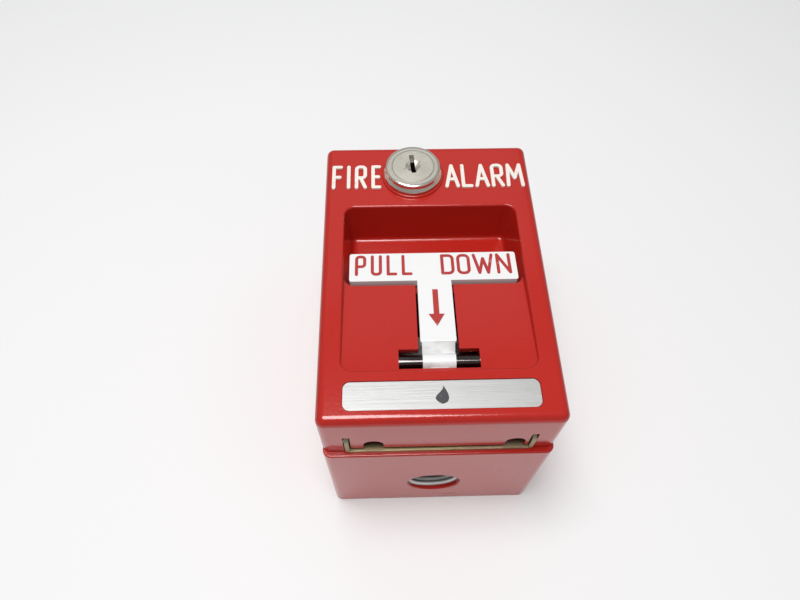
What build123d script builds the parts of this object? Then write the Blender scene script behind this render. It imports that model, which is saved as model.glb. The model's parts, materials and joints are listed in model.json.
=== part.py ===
from build123d import *
import math
import os

# Manual fire alarm call point with a pull handle: a cast surface box, a steel mounting plate
# and a hinged cover that carries the handle, the lock and the switch.
# Row frame, millimetres: +X right and +Y up as the call point hangs on its wall, +Z out of the
# front face. The origin is the centre of the back face, so the model lies on its back.

# ---- driving dimensions ---------------------------------------------------------------------
# overall
cover_width = 82.55
cover_height = 120.65
cover_depth = 26.2          # rim to front face
box_depth = 60.3            # wall to the box's front edge
rim_gap = 0.8               # cover rim above the box's front edge
box_side_inset = 0.2        # the box is narrower than the cover by this on each side
box_ledge = 2.2             # the box is taller than the cover by this at each end

# cover shell
cover_wall = 2.4
face_wall = 2.6
cover_corner = 3.0
inner_corner = 1.0
cover_edge = 3.0
recess_side = 8.0           # cover side to recess side
recess_from_top = 32.3      # cover top to recess top
recess_from_bottom = 18.5   # cover bottom to recess bottom
recess_corner = 4.0
recess_mouth = 0.8          # rounding of the recess mouth
pocket_rounding = 1.5       # rounding round the pocket's floor
recess_draft = 7.0
floor_step = 0.9            # depth of the sloping floor at its bottom end
floor_angle = 3.5
pocket_depth = 18.0         # finger pocket behind the crossbar
pocket_height = 35.0        # recess top to the pocket's lower edge
tub_wall = 2.2              # wall behind the finger pocket

# pull handle
shaft_radius = 2.38
shaft_depth = 4.0           # front face to shaft axis
shaft_from_floor_end = 4.5  # recess bottom to shaft axis
shaft_grip = 3.4            # length held in each pad
pad_gap = 0.4               # opening to pad
pad_length = 12.0
pad_half = 4.2
saddle_screw_inset = 3.6
saddle_screw_depth = 3.5
saddle_thickness = 1.2
rooted = 0.5                # length by which ribs and lugs run into the wall behind them
shaft_chamfer = 0.3
running = 0.05              # radial clearance of every turning fit
barrel_radius = 3.1
handle_thickness = 3.2
handle_proud = 1.1          # handle face above the sloping floor
handle_side_gap = 2.2       # crossbar end to recess side
crossbar_height = 12.8
crossbar_lift = 1.7         # pocket's lower edge to crossbar's lower edge
stem_width = 12.4
stem_gap = 0.8              # slot side to stem
bend_from_shaft = 6.0       # shaft axis to the bend of the stem
opening_half_width = 13.8
opening_below_shaft = 3.75
opening_above_shaft = 3.7
handle_rounding = 0.55
bar_corner = 0.9
neck_width = 11.3
neck_foot = (2.75, 0.9)     # where the neck meets the barrel, from the shaft axis

# switch behind the handle
handle_throw = 60.0
throw_ratio = 0.4           # toggle angle per handle angle
toggle_drop = 16.8          # shaft axis to toggle pivot
fork_thickness = 6.0
fork_play = 0.34            # either side of the bat's tip at the ends of its travel
fork_prong = 1.15
fork_reach = 5.6
bat_tip_radius = 1.5
bat_root_radius = 1.1
bat_neck_radius = 0.8
bat_ball_radius = 2.2
bat_clear = 2.4             # shaft to the centre of the bat's tip
ball_gap = 0.1
bushing_radius = 3.0
bushing_bore = 2.3
bushing_above_pivot = 2.4
switch_size = 13.0
switch_depth = 12.5
switch_pin_length = 4.5
switch_pin_pitch = 4.7
switch_pin_width = 2.4
switch_pin_thickness = 0.9
switch_corner = 0.8
switch_nut_radius = 4.6     # across corners
switch_nut_thickness = 1.8
bracket_thickness = 1.5
bracket_half_width = 18.5
bracket_drop = 1.0          # toggle pivot to bracket's front face
bracket_corner = 2.5
bracket_edge = 3.6          # stand-off axis to the bracket's edge
stand_off_x = 15.0
stand_off_radius = 3.0
stand_off_above = 15.3      # shaft axis to the upper stand-offs
stand_off_below = 9.6       # shaft axis to the lower stand-offs
small_screw_radius = 1.45
small_head_radius = 2.7
small_head_height = 1.9
small_screw_length = 7.0
screw_slot = 0.7            # width and depth of a screwdriver slot
terminal_width = 21.0
terminal_height = 11.0
terminal_depth = 11.0
terminal_pitch = 6.4
terminal_count = 3
terminal_screw_radius = 1.6
terminal_well_gap = 0.3
terminal_well_depth = 3.0
terminal_screw_sunk = 1.0
terminal_screw_height = 2.0
terminal_slot = 0.6         # width and depth of the slot in each screw
terminal_edge = 0.8
wire_hole = (3.4, 3.0)
wire_hole_from_back = 5.6
wire_hole_depth = 5.0

# hinge at the lower edge
sheet = 1.5                 # mounting plate thickness
bend_radius = 2.3           # outside of the bend at each ear
ear_corner = 2.9
hinge_from_bottom = 2.5     # cover bottom to hinge axis
hinge_above_box = 5.7       # box front edge to hinge axis
hinge_radius = 1.25
lug_radius = 3.2
lug_rise = 6.0              # hinge axis to the lug's top
ear_back = 1.0              # ear's back edge past the lug
pin_grip = 4.4              # length of a hinge pin in its lug
pin_end_gap = 0.4
ear_from_side = 9.2         # cover side to the middle of the ear
ear_height = 6.2            # hinge axis to the ear's tip
ear_slot_height = 8.0       # hinge axis to the slot's end
ear_slot_gap = 0.5          # slot side to ear
strap_proud = 0.7           # plate edge in front of the cover's bottom side
strap_relief = 2.1          # plate front to the relieved rim
notch_radius = 3.5
notch_top = 10.0            # box front edge to the notch's top
notch_from_ear = (9.15, 5.85)

# lock
lock_x = -6.1
lock_from_top = 15.9
lock_boss = 0.8
lock_boss_radius = 12.5
lock_boss_edge = 0.6
head_radius = 11.55
head_base_radius = 11.2
head_bulge = 0.8            # seat to the widest part of the head
head_shoulder = (10.65, 2.5)  # radius and height of the middle of the shoulder
head_rim = 0.6              # flat ring round the plug
head_height = 4.3
seam = 0.2                  # chamfers either side of the line round the plug
barrel_thread_radius = 9.5
barrel_hole_gap = 0.1
lock_barrel_length = 13.6
plug_face_radius = 8.3
plug_face_thickness = 1.6
plug_radius = 6.5
plug_tail_radius = 5.5
plug_length = 22.4          # plug face to cam
key_width = 1.9
key_height = 9.5
key_lift = 1.1
key_depth = 12.0
dimple_radius = 3.0
dimple_depth = 1.1
dimple_taper = 0.4
notch_angles = (205, 35, -30)
notch_middle = 3.1          # plug centre to the middle of a notch
notch_length = 1.9
notch_width = 0.9
key_angle = 5.5             # lean of the keyway's top to the left
key_step = 1.6              # depth of the keyway's shallow upper part
key_step_share = 0.27
lock_washer_thickness = 0.8
lock_washer_width = 2.2
lock_nut_flats = 24.0
lock_nut_thickness = 4.0
cam_thickness = 1.6
cam_reach = 12.5
cam_half_width = 4.5
cam_screw_radius = 2.0
cam_head_radius = 3.6
cam_head_height = 2.8
cam_relief = 1.4            # cam screw's head to the hole round it in the plate
cam_screw_depth = 5.0
strike_gap = 0.4            # latched cam to the strike's shelf
strike_overlap = 5.5        # shelf length over the cam
strike_side_gap = 3.1       # cam's side to the strike's upright
strike_past_cam = 1.0
strike_foot = 9.0
rivet_from_upright = 5.8
rivet_head_radius = 2.4
rivet_head_height = 1.1

# nameplate
nameplate_side = 8.9        # cover side to nameplate end
nameplate_from_bottom = 9.6
nameplate_height = 9.8
nameplate_corner = 2.3
nameplate_thickness = 0.6
nameplate_sunk = 0.3
nameplate_gap = 0.2
mark_thickness = 0.12
flame_height = 6.4

# lettering
letter_height = 12.2
letter_stroke = 1.4
letter_raise = 0.8
letter_drop = 1.5           # lock centre to the middle of the letters
letter_gap = 1.75
letter_edge = 2.8           # cover side to the outer letters
letter_lock_gap = 1.2       # lock head to the inner letters
legend_height = 9.4
legend_stroke = 1.15
legend_raise = 0.2
legend_gap = 1.7
legend_from_top = 0.9
legend_side = 2.05          # crossbar end to the outer letters
legend_from_stem = 1.6
legend_down_start = 2.8     # middle to the second word
arrow_shaft_width = 2.0
arrow_head_width = 5.6
arrow_head_length = 5.0
arrow_length = 15.6
arrow_from_crossbar = 4.2

# surface box
box_wall = 3.2
box_corner = 3.0
box_edge = 0.6
conduit_bore_radius = 10.3
conduit_mouth_radius = 10.65
conduit_from_back = 24.0
conduit_boss_radius = 14.0
conduit_length = 12.0
post_radius = 4.5
post_from_end = 12.5        # box end to post axis
post_clear = 2.4            # bracket side to plate screw head
plate_screw_radius = 1.75
plate_head_radius = 3.6
plate_head_height = 2.4
plate_screw_length = 14.0
plate_screw_spare = 2.0      # hole left past the end of each plate screw
screw_hole_gap = 0.15
wall_hole_radius = 2.6
wall_hole_x = 44.45
wall_hole_y = 76.2
window_half_width = 26.0
window_from_hinge = 11.5    # hinge axis to the window's lower edge
window_from_top = 26.0      # cover top to the window's upper edge
plate_top_gap = 1.0         # cover's inner top side to the plate
ground_x = -31.0
ground_y = 12.0
ground_boss_height = 5.0

# ---- worked out from them -------------------------------------------------------------------
half_w = cover_width / 2
half_h = cover_height / 2
box_half_w = half_w - box_side_inset
box_half_h = half_h + box_ledge
rim_z = box_depth + rim_gap
face_z = rim_z + cover_depth
inner_face_z = face_z - face_wall
recess_half_w = half_w - recess_side
recess_top = half_h - recess_from_top
recess_bottom = -half_h + recess_from_bottom
recess_mid = (recess_top + recess_bottom) / 2
recess_height = recess_top - recess_bottom
pocket_bottom = recess_top - pocket_height
slope = math.tan(math.radians(floor_angle))
shaft_y = recess_bottom + shaft_from_floor_end
shaft_z = face_z - shaft_depth
opening_low = shaft_y - opening_below_shaft
opening_high = shaft_y + opening_above_shaft
bar_low = pocket_bottom + crossbar_lift
bar_half = recess_half_w - handle_side_gap
toggle_z = shaft_z - toggle_drop
bracket_z = toggle_z - bracket_drop
hinge_y = -half_h + hinge_from_bottom
hinge_z = box_depth + hinge_above_box
ear_x = half_w - ear_from_side
lock_y = half_h - lock_from_top
lock_seat = face_z + lock_boss
plug_face_z = lock_seat + head_height
cam_z = plug_face_z - plug_length
shelf_z = cam_z + strike_gap
post_x = bracket_half_width + plate_head_radius + post_clear
post_y = box_half_h - post_from_end
nameplate_y = -half_h + nameplate_from_bottom
nameplate_half = half_w - nameplate_side


def floor_z(y):
    """Height of the recess's sloping floor."""
    return face_z - floor_step - (y - recess_bottom) * slope


def handle_face_z(y):
    """Height of the handle's front face, parallel to the sloping floor."""
    return floor_z(y) + handle_proud


os.makedirs("parts", exist_ok=True)


def save(builder, name):
    builder.part.label = name
    export_step(builder.part, f"parts/{name}.step")


# ---- letters --------------------------------------------------------------------------------
# Each letter is a few strokes on a cell one unit wide and high. A stroke is its points and the
# share of the cell's width to which its corners are rounded.
LETTERS = {
    "A": (1.0, [([(0, 0), (0.5, 1), (1, 0)], 0), ([(0.18, 0.34), (0.82, 0.34)], 0)]),
    "D": (0.9, [([(0, 0), (0, 1)], 0), ([(0, 1), (1, 1), (1, 0), (0, 0)], 0.42)]),
    "E": (0.62, [([(1, 0), (0, 0), (0, 1), (1, 1)], 0), ([(0, 0.5), (0.85, 0.5)], 0)]),
    "F": (0.68, [([(0, 0), (0, 1), (1, 1)], 0), ([(0, 0.5), (0.85, 0.5)], 0)]),
    "I": (0.0, [([(0, 0), (0, 1)], 0)]),
    "L": (0.72, [([(0, 1), (0, 0), (1, 0)], 0)]),
    "M": (1.3, [([(0, 0), (0.1, 1), (0.5, 0.36), (0.9, 1), (1, 0)], 0)]),
    "N": (1.0, [([(0, 0), (0, 1), (1, 0), (1, 1)], 0)]),
    "O": (0.9, [([(0.5, 0), (0, 0), (0, 1), (0.5, 1)], 0.42), ([(0.5, 1), (1, 1), (1, 0), (0.5, 0)], 0.42)]),
    "P": (0.78, [([(0, 0), (0, 1), (1, 1), (1, 0.44), (0, 0.44)], 0.4)]),
    "R": (0.85, [([(0, 0), (0, 1), (1, 1), (1, 0.46), (0, 0.46)], 0.4), ([(0.45, 0.46), (1, 0)], 0)]),
    "U": (0.78, [([(0, 1), (0, 0), (1, 0), (1, 1)], 0.42)]),
    "W": (1.55, [([(0, 1), (0.26, 0), (0.5, 0.8), (0.74, 0), (1, 1)], 0)]),
}


def draw_word(text, left, right, low, high, width, gap):
    """Draws a word in round-ended strokes between four limits, in the sketch that is open."""
    share = (right - left - len(text) * width - (len(text) - 1) * gap) / sum(LETTERS[c][0] for c in text)
    x = left + width / 2
    base, tall = low + width / 2, high - low - width
    for c in text:
        wide = LETTERS[c][0] * share
        for points, rounding in LETTERS[c][1]:
            path = [(x + px * wide, base + py * tall) for px, py in points]
            if rounding:
                with BuildLine(mode=Mode.PRIVATE) as line:
                    FilletPolyline(*path, radius=rounding * wide)
                trace(line.line, line_width=width)
            else:
                for start, end in zip(path, path[1:]):
                    with BuildLine(mode=Mode.PRIVATE) as line:
                        Line(start, end)
                    trace(line.line, line_width=width)
            with Locations(*(path if not rounding else (path[0], path[-1]))):
                Circle(width / 2)
        x += wide + width + gap


# ---- surface box (root) ---------------------------------------------------------------------
with BuildPart() as back_box:
    with BuildSketch():
        RectangleRounded(2 * box_half_w, 2 * box_half_h, box_corner)
    extrude(amount=box_depth)
    fillet(back_box.faces().sort_by(Axis.Z)[-1].edges(), box_edge)
    with BuildSketch(Plane.XY.offset(box_wall)):
        Rectangle(2 * (box_half_w - box_wall), 2 * (box_half_h - box_wall))
    extrude(amount=box_depth, mode=Mode.SUBTRACT)
    # four posts for the mounting plate, each tied to its end wall by a rib
    with BuildSketch(Plane.XY.offset(box_wall / 2)):
        with GridLocations(2 * post_x, 2 * post_y, 2, 2):
            Circle(post_radius)
        with GridLocations(2 * post_x, 2 * box_half_h - post_from_end - box_wall, 2, 2):
            Rectangle(2 * post_radius, post_from_end - box_wall)
    extrude(amount=box_depth - box_wall / 2)
    # conduit entry: a boss inside the bottom wall, bored right through it
    conduit_plane = Plane((0, -box_half_h, conduit_from_back), x_dir=(1, 0, 0), z_dir=(0, 1, 0))
    with BuildSketch(conduit_plane.offset(box_wall / 2)):
        Circle(conduit_boss_radius)
    extrude(amount=conduit_length - box_wall / 2)
    with BuildSketch(conduit_plane):
        Circle(conduit_bore_radius)
    extrude(amount=conduit_length, mode=Mode.SUBTRACT)
    with BuildSketch(conduit_plane):
        Circle(conduit_mouth_radius)
    extrude(amount=conduit_mouth_radius - conduit_bore_radius, taper=45, mode=Mode.SUBTRACT)
    # earth screw boss on the back wall
    with BuildSketch(Plane.XY.offset(box_wall / 2)):
        with Locations((ground_x, ground_y)):
            Circle(post_radius)
    extrude(amount=ground_boss_height + box_wall / 2)
    with BuildSketch(Plane.XY.offset(box_depth - plate_screw_length)):
        with GridLocations(2 * post_x, 2 * post_y, 2, 2):
            Circle(plate_screw_radius)
    extrude(amount=plate_screw_length, mode=Mode.SUBTRACT)
    with BuildSketch(Plane.XY.offset(box_wall)):
        with Locations((ground_x, ground_y)):
            Circle(plate_screw_radius)
    extrude(amount=ground_boss_height, mode=Mode.SUBTRACT)
    with BuildSketch():
        with GridLocations(wall_hole_x, wall_hole_y, 2, 2):
            Circle(wall_hole_radius)
    extrude(amount=box_wall, mode=Mode.SUBTRACT)
save(back_box, "back_box")


def screws(name, plane, places, shank_radius, head_radius, head_height, shank_length):
    """Round-headed screws with a straight slot: heads above the plane, shanks below it."""
    top = plane.offset(head_height)
    with BuildPart() as group:
        with BuildSketch(plane):
            with Locations(*places):
                Circle(head_radius)
        extrude(amount=head_height)
        fillet(group.edges().filter_by(lambda e: abs(top.to_local_coords(e.center()).Z) < 0.01),
               0.45 * head_height)
        with BuildSketch(plane):
            with Locations(*places):
                Circle(shank_radius)
        extrude(amount=-shank_length)
        with BuildSketch(top):
            with Locations(*places):
                Rectangle(2.5 * head_radius, screw_slot)
        extrude(amount=-screw_slot, mode=Mode.SUBTRACT)
    save(group, name)


# ---- mounting plate with the hinge ears (root) ------------------------------------------------
plate_low = -half_h - strap_proud
plate_high = half_h - cover_wall - plate_top_gap
ear_high_y = hinge_y + lug_radius + ear_back
ear_inner = ear_x - sheet / 2
window_low = hinge_y + window_from_hinge
window_high = half_h - window_from_top
post_places = [(x, y) for x in (-post_x, post_x) for y in (-post_y, post_y)]

with BuildPart() as mounting_plate:
    with BuildSketch(Plane.XY.offset(box_depth)):
        with Locations((0, (plate_low + plate_high) / 2)):
            Rectangle(2 * ear_inner, plate_high - plate_low)
        with Locations((0, (plate_low + ear_high_y) / 2)):
            Rectangle(2 * (ear_inner + sheet), ear_high_y - plate_low)
    extrude(amount=sheet)
    for side in (-1, 1):
        with BuildSketch(Plane.YZ.offset(side * ear_x - sheet / 2)):
            with Locations(((plate_low + ear_high_y) / 2, (box_depth + hinge_z + ear_height) / 2)):
                RectangleRounded(ear_high_y - plate_low, hinge_z + ear_height - box_depth, ear_corner)
            with Locations(((plate_low + ear_high_y) / 2, (box_depth + hinge_z) / 2)):
                Rectangle(ear_high_y - plate_low, hinge_z - box_depth)
        extrude(amount=sheet)
    outer_bends = mounting_plate.edges().filter_by(Axis.Y).filter_by(
        lambda e: abs(abs(e.center().X) - ear_inner - sheet) < 0.01 and abs(e.center().Z - box_depth) < 0.01)
    fillet(outer_bends, bend_radius)
    with BuildSketch(Plane.XY.offset(box_depth)):
        with Locations((0, (window_low + window_high) / 2)):
            RectangleRounded(2 * window_half_width, window_high - window_low, 4)
        with Locations(*post_places):
            Circle(plate_screw_radius + screw_hole_gap)
        with Locations((lock_x, lock_y)):
            Circle(cam_head_radius + cam_relief)
    extrude(amount=sheet, mode=Mode.SUBTRACT)
    with BuildSketch(Plane.YZ.offset(-half_w)):
        with Locations((hinge_y, hinge_z)):
            Circle(hinge_radius)
    extrude(amount=cover_width, mode=Mode.SUBTRACT)
save(mounting_plate, "mounting_plate")

screws("plate_screws", Plane.XY.offset(box_depth + sheet), post_places,
       plate_screw_radius, plate_head_radius, plate_head_height, plate_screw_length - plate_screw_spare)
screws("earth_screw", Plane.XY.offset(box_wall + ground_boss_height), [(ground_x, ground_y)],
       plate_screw_radius, plate_head_radius, plate_head_height, ground_boss_height - 1.0)

# hinge pins: pressed into the ears, turning in the cover's corner lugs
pin_end = ear_inner + sheet + ear_slot_gap + pin_grip
with BuildPart() as hinge_pins:
    for side in (-1, 1):
        start = ear_inner if side > 0 else -pin_end
        with BuildSketch(Plane.YZ.offset(start)):
            with Locations((hinge_y, hinge_z)):
                Circle(hinge_radius)
        extrude(amount=pin_end - ear_inner)
save(hinge_pins, "hinge_pins")

# latch strike: a foot on the plate, an upright and a shelf that stands in front of the cam
strike_high = lock_y + cam_reach
strike_low = strike_high - strike_overlap
strike_x = lock_x + cam_half_width + strike_side_gap
strike_mid = (strike_low + strike_high) / 2
with BuildPart() as latch_strike:
    with BuildSketch(Plane.XZ.offset(-strike_high)):
        with BuildLine():
            Polyline((strike_x, box_depth + sheet), (strike_x + strike_foot, box_depth + sheet),
                     (strike_x + strike_foot, box_depth + 2 * sheet), (strike_x + sheet, box_depth + 2 * sheet),
                     (strike_x + sheet, shelf_z + sheet), (lock_x - cam_half_width - strike_past_cam, shelf_z + sheet),
                     (lock_x - cam_half_width - strike_past_cam, shelf_z), (strike_x, shelf_z), close=True)
        make_face()
    extrude(amount=strike_overlap)
    with BuildSketch(Plane.XY.offset(box_depth + sheet)):
        with Locations((strike_x + rivet_from_upright, strike_mid)):
            Circle(small_screw_radius)
    extrude(amount=sheet, mode=Mode.SUBTRACT)
save(latch_strike, "latch_strike")

with BuildPart() as strike_rivet:
    with BuildSketch(Plane.XY.offset(box_depth + sheet)):
        with Locations((strike_x + rivet_from_upright, strike_mid)):
            Circle(small_screw_radius)
    extrude(amount=sheet)
    with BuildSketch(Plane.XY.offset(box_depth + 2 * sheet)):
        with Locations((strike_x + rivet_from_upright, strike_mid)):
            Circle(rivet_head_radius)
    extrude(amount=rivet_head_height)
    fillet(strike_rivet.edges().sort_by(Axis.Z)[-1], 0.64 * rivet_head_height)
save(strike_rivet, "strike_rivet")

# ---- front cover ----------------------------------------------------------------------------
floor_plane = Plane((0, recess_bottom, floor_z(recess_bottom)), x_dir=(1, 0, 0),
                    z_dir=(0, math.sin(math.radians(floor_angle)), math.cos(math.radians(floor_angle))))
pocket_mid = (recess_top + pocket_bottom) / 2
stem_slot_bottom = handle_face_z(pocket_bottom) - handle_thickness - stem_gap

# the hollow that is taken out of the face: a shallow wedge and the deep finger pocket
with BuildPart() as recess_cut:
    with BuildSketch(Plane.XY.offset(face_z)):
        with Locations((0, recess_mid)):
            RectangleRounded(2 * recess_half_w, recess_height, recess_corner)
    extrude(amount=-pocket_depth, taper=recess_draft)
    split(bisect_by=floor_plane, keep=Keep.TOP)
with BuildPart() as pocket_cut:
    with BuildSketch(Plane.XY.offset(face_z)):
        with Locations((0, pocket_mid)):
            RectangleRounded(2 * recess_half_w, pocket_height, recess_corner)
    extrude(amount=-pocket_depth, taper=recess_draft)
    fillet(pocket_cut.faces().sort_by(Axis.Z)[0].edges(), pocket_rounding)

# the same hollow with its walls round it
with BuildPart() as recess_shell:
    with BuildSketch(Plane.XY.offset(face_z)):
        with Locations((0, recess_mid)):
            RectangleRounded(2 * (recess_half_w + tub_wall), recess_height + 2 * tub_wall,
                             recess_corner + tub_wall)
    extrude(amount=-pocket_depth, taper=recess_draft)
    split(bisect_by=floor_plane.offset(-face_wall), keep=Keep.TOP)
with BuildPart() as pocket_shell:
    with BuildSketch(Plane.XY.offset(face_z)):
        with Locations((0, pocket_mid)):
            RectangleRounded(2 * (recess_half_w + tub_wall), pocket_height + 2 * tub_wall,
                             recess_corner + tub_wall)
    extrude(amount=-pocket_depth - tub_wall, taper=recess_draft)

pad_start = opening_half_width + pad_gap
pad_z = shaft_z - shaft_radius
shaft_half = pad_start + shaft_grip
saddle_screw_x = pad_start + pad_length - saddle_screw_inset
stand_offs = [(x, y) for x in (-stand_off_x, stand_off_x)
              for y in (shaft_y - stand_off_below, shaft_y + stand_off_above)]
slot_inner = ear_x - sheet / 2 - ear_slot_gap
slot_outer = ear_x + sheet / 2 + ear_slot_gap
relief_z = box_depth + sheet + strap_relief
bottom_side = Plane((0, -half_h, 0), x_dir=(1, 0, 0), z_dir=(0, -1, 0))

with BuildPart() as front_cover:
    with BuildSketch(Plane.XY.offset(rim_z)):
        RectangleRounded(cover_width, cover_height, cover_corner)
    extrude(amount=cover_depth)
    fillet(front_cover.faces().sort_by(Axis.Z)[-1].edges(), cover_edge)
    with BuildSketch(Plane.XY.offset(rim_z)):
        RectangleRounded(cover_width - 2 * cover_wall, cover_height - 2 * cover_wall, inner_corner)
    extrude(amount=cover_depth - face_wall, mode=Mode.SUBTRACT)
    add(recess_shell.part)
    add(pocket_shell.part)
    # pads that hold the pivot shaft, and stand-offs for the switch bracket
    with BuildSketch(Plane.XY.offset(pad_z)):
        for side in (-1, 1):
            with Locations((side * (pad_start + pad_length / 2), shaft_y)):
                Rectangle(pad_length, 2 * pad_half)
    extrude(amount=inner_face_z + rooted - pad_z)
    with BuildSketch(Plane.XY.offset(bracket_z)):
        with Locations(*stand_offs):
            Circle(stand_off_radius)
    extrude(amount=inner_face_z + rooted - bracket_z)
    add(recess_cut.part, mode=Mode.SUBTRACT)
    add(pocket_cut.part, mode=Mode.SUBTRACT)
    mouth = front_cover.faces().filter_by(
        lambda f: abs(f.center().Z - face_z) < 0.01 and f.area > 1000)[0].inner_wires()[0].edges()
    fillet(mouth, recess_mouth)
    # raised seat of the lock
    with BuildSketch(Plane.XY.offset(face_z)):
        with Locations((lock_x, lock_y)):
            Circle(lock_boss_radius)
    extrude(amount=lock_boss)
    fillet(front_cover.faces().sort_by(Axis.Z)[-1].edges(), lock_boss_edge)
    with BuildSketch(Plane.XY.offset(inner_face_z - 1)):
        with Locations((lock_x, lock_y)):
            Circle(barrel_thread_radius + barrel_hole_gap)
    extrude(amount=face_wall + lock_boss + 2, mode=Mode.SUBTRACT)
    # opening over the shaft, and the slot that the stem lies in
    with BuildSketch(Plane.XY.offset(inner_face_z - 3)):
        with Locations((0, (opening_low + opening_high) / 2)):
            Rectangle(2 * opening_half_width, opening_high - opening_low)
    extrude(amount=face_wall + 4, mode=Mode.SUBTRACT)
    with BuildSketch(Plane.XY.offset(stem_slot_bottom)):
        with Locations((0, (opening_low + pocket_bottom) / 2 + 2)):
            Rectangle(stem_width + 2 * stem_gap, pocket_bottom - opening_low)
    extrude(amount=face_z - stem_slot_bottom, mode=Mode.SUBTRACT)
    # seat of the shaft, open at the back of the pads
    with BuildSketch(Plane.YZ.offset(-shaft_half)):
        with Locations((shaft_y, shaft_z)):
            Circle(shaft_radius)
        with Locations((shaft_y, shaft_z - shaft_radius)):
            Rectangle(2 * shaft_radius, 2 * shaft_radius)
    extrude(amount=2 * shaft_half, mode=Mode.SUBTRACT)
    # screw holes in the pads and the stand-offs
    with BuildSketch(Plane.XY.offset(pad_z)):
        with Locations((-saddle_screw_x, shaft_y), (saddle_screw_x, shaft_y)):
            Circle(small_screw_radius)
    extrude(amount=saddle_screw_depth, mode=Mode.SUBTRACT)
    with BuildSketch(Plane.XY.offset(bracket_z)):
        with Locations(*stand_offs):
            Circle(small_screw_radius)
    extrude(amount=small_screw_length, mode=Mode.SUBTRACT)
    # shallow seat of the nameplate
    with BuildSketch(Plane.XY.offset(face_z)):
        with Locations((0, nameplate_y)):
            RectangleRounded(2 * (nameplate_half + nameplate_gap), nameplate_height + 2 * nameplate_gap,
                             nameplate_corner + nameplate_gap)
    extrude(amount=-nameplate_thickness - nameplate_sunk, mode=Mode.SUBTRACT)
    # bottom side: relieved rim over the plate, slots for the ears, two half-round notches
    with BuildSketch(bottom_side):
        with Locations((0, (rim_z + relief_z) / 2)):
            Rectangle(2 * slot_inner, relief_z - rim_z)
        for side in (-1, 1):
            with Locations((side * ear_x, (rim_z + hinge_z + ear_slot_height) / 2)):
                Rectangle(slot_outer - slot_inner, hinge_z + ear_slot_height - rim_z)
        for x in (-(ear_x - notch_from_ear[0]), ear_x - notch_from_ear[1]):
            with Locations((x, box_depth + notch_top - notch_radius)):
                Circle(notch_radius)
            with Locations((x, (relief_z + box_depth + notch_top - notch_radius) / 2)):
                Rectangle(2 * notch_radius, box_depth + notch_top - notch_radius - relief_z)
    extrude(amount=-cover_wall - rooted, mode=Mode.SUBTRACT)
    # corner lugs that turn on the hinge pins
    lug_length = half_w - cover_wall - slot_outer + rooted
    for side in (-1, 1):
        with BuildSketch(Plane.YZ.offset(slot_outer if side > 0 else -slot_outer - lug_length)):
            with Locations((hinge_y, hinge_z)):
                Circle(lug_radius)
            with Locations((hinge_y, hinge_z + lug_rise / 2)):
                Rectangle(2 * lug_radius, lug_rise)
            with Locations((-half_h - lug_radius + 1, hinge_z)):
                Rectangle(2 * lug_radius, 4 * lug_radius, mode=Mode.SUBTRACT)
        extrude(amount=lug_length)
    for side in (-1, 1):
        with BuildSketch(Plane.YZ.offset(slot_outer if side > 0 else -pin_end - pin_end_gap)):
            with Locations((hinge_y, hinge_z)):
                Circle(hinge_radius + running)
        extrude(amount=pin_end + pin_end_gap - slot_outer, mode=Mode.SUBTRACT)
save(front_cover, "front_cover")

word_mid = lock_y - letter_drop
with BuildPart() as cover_lettering:
    with BuildSketch(Plane.XY.offset(face_z)):
        low, high = word_mid - letter_height / 2, word_mid + letter_height / 2
        draw_word("FIRE", -half_w + letter_edge, lock_x - head_radius - letter_lock_gap,
                  low, high, letter_stroke, letter_gap)
        draw_word("ALARM", lock_x + head_radius + letter_lock_gap, half_w - letter_edge,
                  low, high, letter_stroke, 0.45 * letter_gap)
    extrude(amount=letter_raise)
save(cover_lettering, "cover_lettering")

# ---- nameplate ------------------------------------------------------------------------------
nameplate_top = face_z - nameplate_sunk
with BuildPart() as nameplate:
    with BuildSketch(Plane.XY.offset(nameplate_top - nameplate_thickness)):
        with Locations((0, nameplate_y)):
            RectangleRounded(2 * nameplate_half, nameplate_height, nameplate_corner)
    extrude(amount=nameplate_thickness)
save(nameplate, "nameplate")

# a plain flame, drawn from its base round both flanks to the tip
with BuildPart() as nameplate_mark:
    with BuildSketch(Plane((0, nameplate_y, nameplate_top))):
        with BuildLine():
            h = flame_height
            Spline((0, -0.5 * h), (0.34 * h, -0.22 * h), (0.28 * h, 0.12 * h), (0.08 * h, 0.5 * h))
            Spline((0.08 * h, 0.5 * h), (-0.04 * h, 0.2 * h), (-0.3 * h, -0.08 * h), (0, -0.5 * h))
        make_face()
    extrude(amount=mark_thickness)
save(nameplate_mark, "nameplate_mark")

# ---- pivot shaft and the saddles that hold it -------------------------------------------------
with BuildPart() as pivot_shaft:
    with BuildSketch(Plane.YZ.offset(-shaft_half)):
        with Locations((shaft_y, shaft_z)):
            Circle(shaft_radius)
    extrude(amount=2 * shaft_half)
    chamfer(pivot_shaft.edges().filter_by(GeomType.CIRCLE), shaft_chamfer)
save(pivot_shaft, "pivot_shaft")

with BuildPart() as shaft_saddles:
    with BuildSketch(Plane.XY.offset(pad_z - saddle_thickness)):
        for side in (-1, 1):
            with Locations((side * (pad_start + pad_length / 2), shaft_y)):
                Rectangle(pad_length, 2 * pad_half)
        with Locations((-saddle_screw_x, shaft_y), (saddle_screw_x, shaft_y)):
            Circle(small_screw_radius, mode=Mode.SUBTRACT)
    extrude(amount=saddle_thickness)
save(shaft_saddles, "shaft_saddles")

back_of_saddles = Plane((0, 0, pad_z - saddle_thickness), x_dir=(-1, 0, 0), z_dir=(0, 0, -1))
screws("saddle_screws", back_of_saddles, [(-saddle_screw_x, shaft_y), (saddle_screw_x, shaft_y)],
       small_screw_radius, small_head_radius, small_head_height, saddle_thickness + saddle_screw_depth - rooted)

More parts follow.
